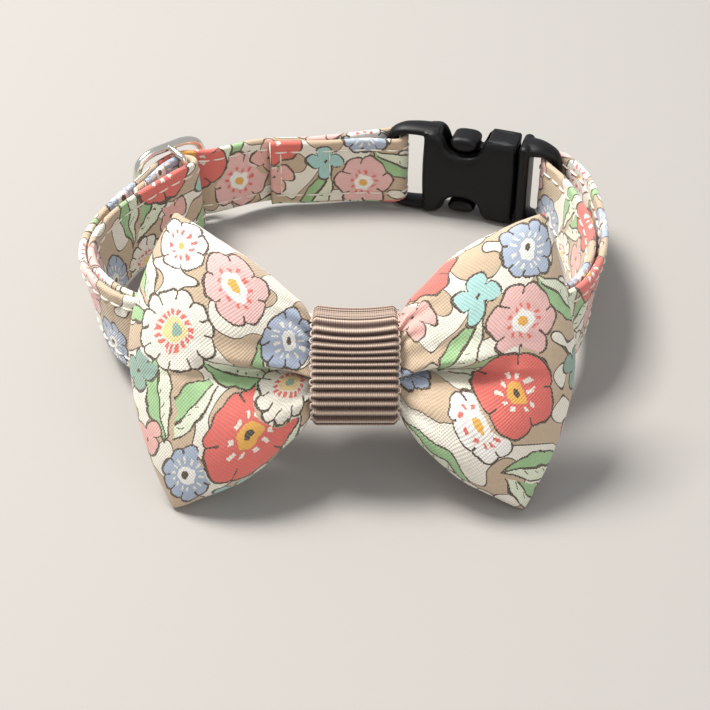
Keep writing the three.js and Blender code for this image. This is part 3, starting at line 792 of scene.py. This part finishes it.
# far, upper, lower, front, back, crease, as in the CAD source
WING = np.array([
    (0.0, 4.5, 5.4, 2.3, 2.3, 0.5),
    (0.06, 6.4, 7.1, 2.9, 2.4, 1.3),
    (0.14, 7.8, 8.5, 3.7, 2.7, 1.9),
    (0.24, 9.3, 9.9, 4.5, 3.0, 2.1),
    (0.38, 11.2, 11.7, 5.3, 3.4, 1.9),
    (0.55, 13.0, 13.3, 5.5, 3.6, 1.4),
    (0.72, 14.4, 14.5, 4.9, 3.3, 0.8),
    (0.87, 15.5, 15.5, 3.4, 2.6, 0.3),
    (0.96, 16.1, 16.1, 2.0, 1.7, 0.1),
    (1.0, 16.4, 16.3, 1.0, 1.0, 0.0),
])

# middle, upper, lower, round above, round below, sag of the top edge
REACH = {-1: (24.4, 19.3, 19.6, 2.1, 1.7, 0.7), 1: (23.8, 20.3, 18.2, 1.7, 1.7, -0.4)}

# Gathers that run out of the waist: side, height on the wing, depth, spread, how far they run
GATHERS = [
    (-1, 0.55, 0.75, 0.09, 0.16),
    (-1, 0.28, 0.4, 0.06, 0.1),
    (-1, -0.42, 0.6, 0.08, 0.14),
    (-1, -0.72, 0.55, 0.08, 0.2),
    (-1, 0.82, 0.5, 0.07, 0.22),
    (1, 0.62, 0.8, 0.09, 0.18),
    (1, 0.34, 0.55, 0.07, 0.12),
    (1, -0.36, 0.55, 0.07, 0.13),
    (1, -0.66, 0.65, 0.09, 0.2),
    (1, 0.86, 0.45, 0.07, 0.2),
]


FACE_STEPS = 240
REAR_STEPS = 100
EVENED = 30  # steps either way over which the print is evened out
CAP_TURNS = [5, 20, 36, 54, 72, 88]  # degrees, from a wing's middle line to its last ring


def wing_values(far):
    """The wing's table read smoothly."""
    at = WING[:, 0]
    cell = np.clip(np.searchsorted(at, far, side="right") - 1, 0, len(at) - 2)
    width = at[cell + 1] - at[cell]
    t = (far - at[cell]) / width
    read = []
    for v in WING[:, 1:].T:
        slope = np.gradient(v, at)
        read.append(between(v[cell], v[cell + 1], slope[cell] * width, slope[cell + 1] * width, t))
    return read


def wing_grid(side, fars, angles):
    """Points of one wing's skin, a row for each far and a column for each angle."""
    far = fars[:, None]
    level, bulge = np.cos(angles)[None, :], np.sin(angles)[None, :]
    upper, lower, front, back, crease = (v[:, None] for v in wing_values(fars))
    middle, tip_upper, tip_lower, round_upper, round_lower, sag = REACH[side]
    share = np.sign(level) * np.abs(level) ** 0.8
    tip = np.where(level > 0, tip_upper, tip_lower)
    bend = np.where(level > 0, round_upper, round_lower)
    end = middle + (tip - middle) * np.abs(share) ** bend
    x = side * (BOW["waist"] + far * (end - BOW["waist"]))
    height = np.where(level > 0, upper - 4 * sag * far * (1 - far), lower)
    # A narrow slot between two soft lobes, of which the upper overhangs the lower.
    runs_out = np.clip((0.68 - far) / 0.3, 0, 1)
    from_fold = level + 0.03 + 0.15 * np.exp(-far / 0.1)
    above = from_fold > 0
    slot = hump(from_fold, np.where(above, 0.04, 0.06)) * runs_out
    lobes = hump(from_fold, np.where(above, 0.17, 0.3)) * crease
    over = hump(from_fold - 0.085, 0.06) * (bulge > 0) * runs_out
    face = front - np.where(above, 0.5, 0.8) * lobes - 2.4 * slot
    depth = np.where(bulge > 0, face, -back + 0.35 * lobes) + 0.75 * over
    for where, at, deep, spread, runs in GATHERS:
        if where == side:
            groove = hump(level - at * (1 - 0.1 * far), spread) * np.exp(-(far / runs) ** 1.5)
            depth = depth - np.sign(bulge) * deep * groove
    depth = depth + 0.22 * hump(np.abs(level) - 0.985, 0.006) * (bulge < 0)
    return in_bow(x, share * height - 0.8 * over, depth * np.abs(bulge) ** 0.6)


def make_bow():
    fars = np.concatenate([np.linspace(0, 0.92, 84), 1 - 0.08 * np.linspace(1, 0, 13)[1:] ** 2])
    face = np.pi * np.arange(FACE_STEPS + 1) / FACE_STEPS
    rear = np.pi * np.arange(1, REAR_STEPS) / REAR_STEPS
    angles = np.concatenate([face, np.pi + rear])
    rows = np.concatenate([wing_grid(-1, fars, angles)[::-1], wing_grid(1, fars, angles)])
    # Each wing's free end closes over its last ring.
    rows = np.concatenate([end_cap(rows[0], rows[1]), rows, end_cap(rows[-1], rows[-2])[::-1]])
    across = bow_across(rows)
    large, small, fine = (ripple(rows, *row) for row in ((7.0, 3.0), (2.6, 6.0), (1.1, 8.0)))
    offset = large * 0.3 + small * 0.1 + fine * 0.03
    middle = rows.mean(1, keepdims=True)
    rows = rows + unit(rows - middle) * (offset - 0.15)[..., None]
    front = FACE_STEPS // 2
    step = np.linalg.norm(np.diff(np.concatenate([rows, rows[:, :1]], 1), axis=1), axis=2)
    around = np.concatenate([np.zeros((len(rows), 1)), np.cumsum(step, 1)], 1)
    around = around[:, front : front + 1] - around
    faces, corner = grid_faces(len(rows), rows.shape[1])
    wide = np.concatenate([across, across[:, :1]], 1)
    at = corner[..., 0], corner[..., 1]
    faces, fabric, _ = face_out(rows, faces, np.stack([wide[at], around[at]], -1))
    piece = add_mesh("bow_cloth", rows.reshape(-1, 3) + SHIFT, faces.tolist(), COTTON, fabric)
    close_ends(piece)
    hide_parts("bow")
    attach(piece, "root")


def bow_across(rows):
    """How far each point lies from the bow's middle along the cloth, which turns in at the ends.
    What the turns add is evened out round each ring, so that the crease doesn't tear the print."""
    x, depth = rows[..., 0], (rows - BOW_CENTRE) @ BOW_FRONT
    step = np.hypot(np.diff(x, axis=0), np.diff(depth, axis=0))
    along = np.concatenate([np.zeros_like(x[:1]), np.cumsum(step, 0)])
    waist = len(rows) // 2
    added = along - along[waist] + x[waist] - x
    return x + np.mean([np.roll(added, shift, 1) for shift in range(-EVENED, EVENED + 1)], 0)


def end_cap(last, before):
    """Rings that close a wing's side edge, rounding over from its last ring to its middle line."""
    ahead = unit((last - before).mean(0))
    depth = (last - BOW_CENTRE) @ BOW_FRONT
    flat = last - depth[:, None] * BOW_FRONT
    turns = np.radians(CAP_TURNS)[:, None, None]
    return flat + (last - flat) * np.sin(turns) + ahead * 0.5 * np.cos(turns)


def close_ends(piece):
    """Closes the two flat end rings with one face each."""
    work = bmesh.new()
    work.from_mesh(piece.data)
    open_edges = [edge for edge in work.edges if edge.is_boundary]
    filled = bmesh.ops.holes_fill(work, edges=open_edges)["faces"]
    layer = work.loops.layers.uv["Fabric"]
    for face in filled:
        face.smooth = True
        for loop in face.loops:
            near = next(other for other in loop.vert.link_loops if other.face not in filled)
            loop[layer].uv = near[layer].uv
    work.to_mesh(piece.data)
    work.free()


# ---- The ribbon round the waist ----

RIB_PITCH = 0.8
RIB_STEPS = 10
RIB = {"high": 0.27, "sharp": 0.55}
HEM = 0.35  # the wrap's thinner border along each edge
WRAP_COLUMNS = 61
SAG = {"down": 1.1, "edges": 0.45, "reach": 3.2}  # of the wrap's top between its edges
LOOP = {"out": 0.24, "half": 0.3, "radius": 0.1}  # the edge loops, one a rib


def wrap_path():
    """The middle of the ribbon's thickness, round the waist and both layers of strap."""
    gap = LAYER_GAP
    strap_back = WRAP["front"] + 2 * gap + 2 * STRAP_THICK + gap + 0.3
    half_strap = STRAP_WIDTH / 2

    def half(waist, side):
        rows = [
            (waist * 0.6, WRAP["front"] - 0.05),
            (waist * 0.9, WRAP["front"] - 0.7),
            (waist, WRAP["front"] - 1.8),
            ((waist + half_strap) / 2 + 0.2, -WRAP["front"]),
            (half_strap + 0.55, -strap_back + 1),
            (half_strap - 0.6, -strap_back),
        ]
        return [(side * up, front) for up, front in rows]

    rows = [(0, WRAP["front"])] + half(WRAP["upper"], 1) + half(WRAP["lower"], -1)[::-1]
    closed = closed_curve(rows, 2000)
    loop = np.vstack([closed, closed[:1]])
    length = lengths(loop)
    ribs = round(length[-1] / RIB_PITCH)
    at = np.linspace(0, length[-1], ribs * RIB_STEPS, endpoint=False)
    path = np.column_stack([np.interp(at, length, loop[:, k]) for k in range(2)])
    ahead = unit(np.roll(path, -1, 0) - np.roll(path, 1, 0))
    away = np.column_stack([ahead[:, 1], -ahead[:, 0]])
    if np.einsum("ij,ij->", away, path - [0, -1.5]) < 0:
        away = -away
    return path + away * (gap + WRAP["thick"] / 2), away, ribs


def make_wrap():
    path, away, ribs = wrap_path()
    half = WRAP["width"] / 2
    wide = np.linspace(-half, half, WRAP_COLUMNS)
    crown = np.abs(np.cos(np.pi * np.arange(len(path)) / RIB_STEPS)) ** RIB["sharp"]
    rib = RIB["high"] * (crown * 2 - 1)
    edge = 1 - 0.5 * np.clip((np.abs(wide) - half + HEM) / HEM, 0, 1)
    outer = WRAP["thick"] / 2 - 0.2 + rib[:, None] * edge[None, :] - (1 - edge)[None, :] * 0.5
    inner_wide = wide[::-12]
    inner = np.full((len(path), len(inner_wide)), -WRAP["thick"] / 2)
    depth = np.concatenate([outer, inner], 1)
    x = np.concatenate([wide, inner_wide])
    top = hump(path[:, :1] - WRAP["upper"], SAG["reach"])
    sag = top * (SAG["edges"] * (x[None, :] / half) ** 2 - SAG["down"])
    up, front = ((path[:, k, None] + away[:, k, None] * depth) for k in range(2))
    rows = in_bow(x[None, :], up + sag, front)
    faces, corner = grid_faces(len(path), len(x), wrap_rows=True)
    flat_x = np.append(x, x[0])
    fabric = np.stack([flat_x[corner[..., 1]], corner[..., 0] / RIB_STEPS], -1)
    faces, fabric, _ = face_out(rows, faces, fabric)
    piece = add_mesh("ribbon_wrap", rows.reshape(-1, 3) + SHIFT, faces.tolist(), RIBBON, fabric)
    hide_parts("centre_wrap")
    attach(piece, "root")
    loops = []
    for side in (-1, 1):
        for k in range(ribs):
            i = k * RIB_STEPS + RIB_STEPS // 2
            base = rows[i, WRAP_COLUMNS - 1 if side > 0 else 0]
            middle = rows[:, WRAP_COLUMNS // 2]
            ahead = unit(middle[(i + 4) % len(path)] - middle[i - 4])
            turn = np.linspace(-1.9, 1.9, 9)
            size = 0.85 + 0.3 * math.sin(2.7 * k + side)
            reach = np.cos(turn)[:, None] * BOW_ALONG * side * LOOP["out"] * size
            loops.append(base + reach + np.sin(turn)[:, None] * ahead * LOOP["half"] + SHIFT)
    edge_loops = tube_piece("ribbon_edges", loops, LOOP["radius"], 6, EDGE_THREAD)
    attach(edge_loops, "root")


# ---- Buckle, moulded plastic with round edges ----

BUCKLE = {"loop": 6.8, "body": 12.4, "base": 1.4, "plug_loop": 4.7, "half": 6.3, "bend": 75.0}
CROWN = 1.06  # how much taller the buckle's upper half is than in the CAD
FOOT = 0.975  # its lower half, whose round bars stay above the floor
BAR = {"socket": 1.6, "plug": 1.0}  # from each end of the buckle to the middle of its bar
SOCKET_END = BUCKLE["loop"] + BUCKLE["body"]
PLUG_START = SOCKET_END + LAYER_GAP
BUCKLE_END = PLUG_START + BUCKLE["base"] + BUCKLE["plug_loop"]

VOXEL = 0.13  # the step to which its solids are joined, before they are smoothed
SMOOTH_ROUNDS = 6

# How far a slab's outline is drawn in at each depth, from its middle to its outer face
ROUND_RIM = [(0.0, 0.0), (1.5, 0.05), (2.1, 0.35), (2.42, 0.9), (2.5, 1.7)]


def slab(outline, levels):
    """A closed slab from an outline and its inset at each depth."""
    outline = np.asarray(outline, float)
    ahead = unit(np.roll(outline, -1, 0) - np.roll(outline, 1, 0))
    l, h = outline.T
    area = np.sum(l * np.roll(h, -1) - np.roll(l, -1) * h)
    inward = np.column_stack([-ahead[:, 1], ahead[:, 0]]) * np.sign(area)
    count = len(outline)
    rings = [
        np.column_stack([outline + inward * inset, np.full(count, depth)])
        for depth, inset in levels
    ]
    return np.vstack(rings), closed_faces(len(levels), count)


def both_ways(levels):
    return [(-depth, inset) for depth, inset in levels[:0:-1]] + levels


def plate(low, high):
    """The rim of a plate that ends in the buckle's outer face on one side."""
    rim = [(depth, inset) for depth, inset in ROUND_RIM if depth > low]
    return [(low, 0.0)] + [row for row in rim if row[0] <= high]


def box_outline(l0, l1, h0, h1, corner):
    rows = []
    for cl, ch, start in (
        (l1 - corner, h1 - corner, 0),
        (l0 + corner, h1 - corner, 90),
        (l0 + corner, h0 + corner, 180),
        (l1 - corner, h0 + corner, 270),
    ):
        for angle in np.radians(np.linspace(start, start + 90, 6)):
            rows.append((cl + corner * math.cos(angle), ch + corner * math.sin(angle)))
    return rows


def bar_along(path, sizes):
    """A bar whose oval section changes along a path in the buckle's flat plane."""
    count, sides = 60, 16
    path = curve_at(path, np.linspace(0, 1, count))
    sizes = curve_at(sizes, np.linspace(0, 1, count), even=True)
    ahead = unit(np.gradient(path, axis=0))
    side = np.column_stack([-ahead[:, 1], ahead[:, 0]])
    angle = 2 * np.pi * np.arange(sides) / sides
    flat = path[:, None] + side[:, None] * (np.cos(angle)[None, :] * sizes[:, :1])[..., None]
    depth = np.sin(angle)[None, :] * sizes[:, 1:]
    points = np.concatenate([flat, depth[..., None]], -1).reshape(-1, 3)
    return points, closed_faces(count, sides)


def box_low(node):
    """The height of a CAD node's lowest point, in millimetres."""
    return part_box(node)[0][2] / MM


def place_buckle(mesh):
    """Curves the flat buckle gently and puts its end bars on the ring's route."""
    points = np.array([vertex.co for vertex in mesh.vertices]) / MM
    points[:, 1] *= np.where(points[:, 1] > 0, CROWN, FOOT)
    ends = ring_frames([0.0, 1.0])["here"]
    along = (ends[1] - ends[0]) * [1, 1, 0]
    along = along / np.linalg.norm(along)
    out = np.cross([0, 0, 1], along)
    halfway = (BAR["socket"] + BUCKLE_END - BAR["plug"]) / 2
    l = points[:, 0] - halfway
    sag = (l**2 - (halfway - BAR["socket"]) ** 2) / (2 * BUCKLE["bend"])
    placed = ends.mean(0) + l[:, None] * along + (points[:, 2] - sag)[:, None] * out + SHIFT
    placed[:, 2] = points[:, 1] + box_low("buckle_socket") + BUCKLE["half"]
    mesh.vertices.foreach_set("co", (placed * MM).ravel())
    mesh.update()


def normals_out(mesh):
    work = bmesh.new()
    work.from_mesh(mesh)
    bmesh.ops.recalc_face_normals(work, faces=work.faces)
    work.to_mesh(mesh)
    work.free()


def moulded(name, solids, node):
    """Joins flat solids into one skin, rounds its edges and puts it in place."""
    piece = add_mesh(name, *joined(solids), PLASTIC)
    normals_out(piece.data)
    remesh = piece.modifiers.new("remesh", "REMESH")
    remesh.mode = "VOXEL"
    remesh.voxel_size = VOXEL * MM
    smooth = piece.modifiers.new("smooth", "SMOOTH")
    smooth.factor = 0.5
    smooth.iterations = SMOOTH_ROUNDS
    shaped = piece.evaluated_get(bpy.context.evaluated_depsgraph_get())
    result = bpy.data.meshes.new_from_object(shaped)
    piece.modifiers.clear()
    piece.data = result
    place_buckle(result)
    normals_out(result)
    result.polygons.foreach_set("use_smooth", [True] * len(result.polygons))
    result.materials.clear()
    result.materials.append(PLASTIC)
    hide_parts(node)
    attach(piece, "root")


# The upper half of each end loop, from the body round to its end bar: length, height, half the
# bar's thickness in the flat plane, half its depth
SOCKET_ARCH = [
    (8.2, 5.55, 0.85, 1.9),
    (6.4, 5.72, 0.75, 1.75),
    (4.6, 5.75, 0.7, 1.6),
    (3.0, 5.55, 0.7, 1.45),
    (1.9, 4.9, 0.75, 1.2),
    (1.55, 3.8, 0.85, 0.8),
    (1.6, 2.5, 0.85, 0.75),
    (1.6, 0, 0.85, 0.75),
]
PLUG_ARCH = [
    (PLUG_START + 0.5, 5.3, 1.0, 2.2),
    (22.0, 5.45, 0.9, 1.9),
    (23.3, 5.3, 0.78, 1.5),
    (24.3, 4.8, 0.75, 1.2),
    (24.65, 3.7, 0.8, 0.85),
    (BUCKLE_END - BAR["plug"], 2.5, 0.82, 0.75),
    (BUCKLE_END - BAR["plug"], 0, 0.82, 0.75),
]

# Outlines along the length and height: the socket's side notch, and the plug's pads that show in it
NOTCH = [
    (7.9, 6.2), (8.7, 5.85), (9.2, 5.1), (9.6, 4.2), (10.5, 3.55), (11.7, 3.35),
    (12.9, 3.5), (13.9, 4.1), (14.4, 5.0), (14.8, 5.8), (15.6, 6.2),
]
PAD = [
    (10.05, 4.5), (9.85, 5.0), (10.1, 5.5), (10.8, 5.75), (11.7, 5.8), (12.7, 5.75),
    (13.4, 5.5), (13.75, 5.0), (13.6, 4.5), (12.9, 3.95), (11.8, 3.75), (10.6, 3.95),
]


def arch(rows, side):
    return bar_along([(l, h * side) for l, h, _, _ in rows], [row[2:] for row in rows])


def mirrored(rows):
    """An outline's lower side, from its upper."""
    return [(l, -h) for l, h in reversed(rows)]


def make_socket():
    half = BUCKLE["half"]
    start, end = BUCKLE["loop"] - 0.5, SOCKET_END
    upper = [(start, half - 1.2), (start + 0.4, half - 0.3), (7.3, half - 0.05)] + NOTCH
    upper += [(17.2, half), (end - 0.9, half - 0.02), (end - 0.2, half - 0.3), (end, half - 1.0)]
    rows = upper + mirrored(upper)
    outline = closed_curve(rows, 260)
    shell = plate(1.2, 2.5)
    inside = [(-1.9, 0), (1.9, 0)]
    solids = [slab(outline, shell), slab(outline, [(-depth, inset) for depth, inset in shell])]
    solids.append(slab(box_outline(start, 8.4, -half + 0.2, half - 0.2, 0.5), inside))
    for side in (-1, 1):
        h0, h1 = sorted((side * 5.0, side * (half - 0.12)))
        solids.append(slab(box_outline(15.1, end, h0, h1, 0.3), inside))
        solids.append(arch(SOCKET_ARCH, side))
    moulded("buckle_socket_moulded", solids, "buckle_socket")


def make_plug():
    half = BUCKLE["half"]
    start = PLUG_START
    shoulder = box_outline(start, start + BUCKLE["base"] + 0.2, -half + 0.05, half - 0.05, 0.7)
    solids = [slab(shoulder, both_ways([(0.0, 0.0), (1.9, 0.03), (2.3, 0.25), (2.48, 0.55)]))]
    solids.append(slab(box_outline(11.0, start + 0.6, -0.8, 0.8, 0.3), [(-0.85, 0), (0.85, 0)]))
    for side in (-1, 1):
        solids.append(arch(PLUG_ARCH, side))
        h0, h1 = sorted((side * 3.8, side * 4.5))
        solids.append(slab(box_outline(10.8, start + 0.6, h0, h1, 0.25), [(-0.85, 0), (0.85, 0)]))
        outline = closed_curve([(l, h * side) for l, h in PAD], 80)
        rim = [(0.0, 0.0), (1.3, 0.02), (1.75, 0.2), (2.0, 0.6)]
        solids.append(slab(outline, both_ways(rim)))
    moulded("buckle_plug_moulded", solids, "buckle_plug")


# ---- Slider, a bent nickel wire ----

BAR_WIRE = 0.42


def make_slider():
    f = ring_frames([place_of("slider")])
    here, along, up, out = (f[key][0] for key in ("here", "along", "up", "out"))
    half, top, corner = SLIDER["half"], SLIDER["top"], SLIDER["corner"]
    stand, tilt = SLIDER["out"], SLIDER["tilt"]

    def place(a, u, o):
        return here + along * a + up * u + out * o + SHIFT

    quarter = [
        (half, 0.0),
        (half, top - corner - 0.6),
        (half - corner * 0.3, top - corner * 0.45),
        (half - corner, top - 0.15),
        (0.0, top),
    ]
    loop = quarter + [(-a, u) for a, u in quarter[-2::-1]]
    loop += [(-a, -u) for a, u in quarter[1:]] + [(a, -u) for a, u in quarter[-2:0:-1]]
    rows = [place(a, u, stand + tilt * a / half) for a, u in loop]
    frame_path = closed_curve(rows, 160)
    drop = [0, 0, frame_path[:, 2].min() - WIRE - box_low("slider")]
    side = [(top, stand), (top - 0.1, stand * 0.62), (top - 0.45, stand * 0.22), (top - 0.75, 0.0)]
    rows = [place(0, -u, o) for u, o in side] + [place(0, 0, 0)]
    rows += [place(0, u, o) for u, o in side[::-1]]
    bar_path = curve_at(rows, np.linspace(0, 1, 90))
    wire = tube_piece("slider_wire", [frame_path - drop], WIRE, 20, NICKEL, closed=True)
    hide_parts("slider")
    bar = tube_piece("slider_bar", [bar_path - drop], BAR_WIRE, 16, NICKEL)
    for piece in (wire, bar):
        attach(piece, "root")


# ---- Stage, light and camera ----

CAMERA = {"angle": 2 * math.atan(355 / 1500), "above": 38, "place": (0.001044, -0.15195, 0.115)}


def make_stage():
    bpy.ops.mesh.primitive_plane_add(size=4, location=(0, 0, 0))
    floor = bpy.context.object
    floor.name = "floor"
    g = Graph("pale_floor")
    floor.data.materials.append(g.finish(colour(162, 158, 153), 0.75))
    world = bpy.data.worlds.new("studio")
    bpy.context.scene.world = world
    world.use_nodes = True
    world.node_tree.nodes["Background"].inputs[0].default_value = colour(236, 240, 246)
    world.node_tree.nodes["Background"].inputs[1].default_value = 0.6
    bpy.context.scene.view_settings.view_transform = "Standard"

    def area(name, place, size, watts, shade):
        light = bpy.data.lights.new(name, "AREA")
        light.size = size
        light.energy = watts
        light.color = shade[:3]
        holder = bpy.data.objects.new(name, light)
        holder.location = place
        holder.rotation_euler = (-Vector(place)).to_track_quat("-Z", "Y").to_euler()
        bpy.context.scene.collection.objects.link(holder)

    area("window", (-0.28, 0.16, 0.6), 0.25, 8.0, (1.0, 0.98, 0.95))
    area("fill", (0.35, -0.6, 0.45), 0.6, 1.5, (1.0, 0.97, 0.94))


def make_camera():
    """The photo's view: from the front, 38 degrees above the floor."""
    camera = bpy.data.cameras.new("camera")
    camera.angle = CAMERA["angle"]
    camera.clip_start = 0.01
    holder = bpy.data.objects.new("camera", camera)
    holder.location = CAMERA["place"]
    holder.rotation_euler = (math.radians(90 - CAMERA["above"]), 0, 0)
    bpy.context.scene.collection.objects.link(holder)
    bpy.context.scene.camera = holder


make_camera()
make_stage()
make_strap()
make_stitches()
make_bow()
make_wrap()
make_socket()
make_plug()
make_slider()

bpy.context.view_layer.update()
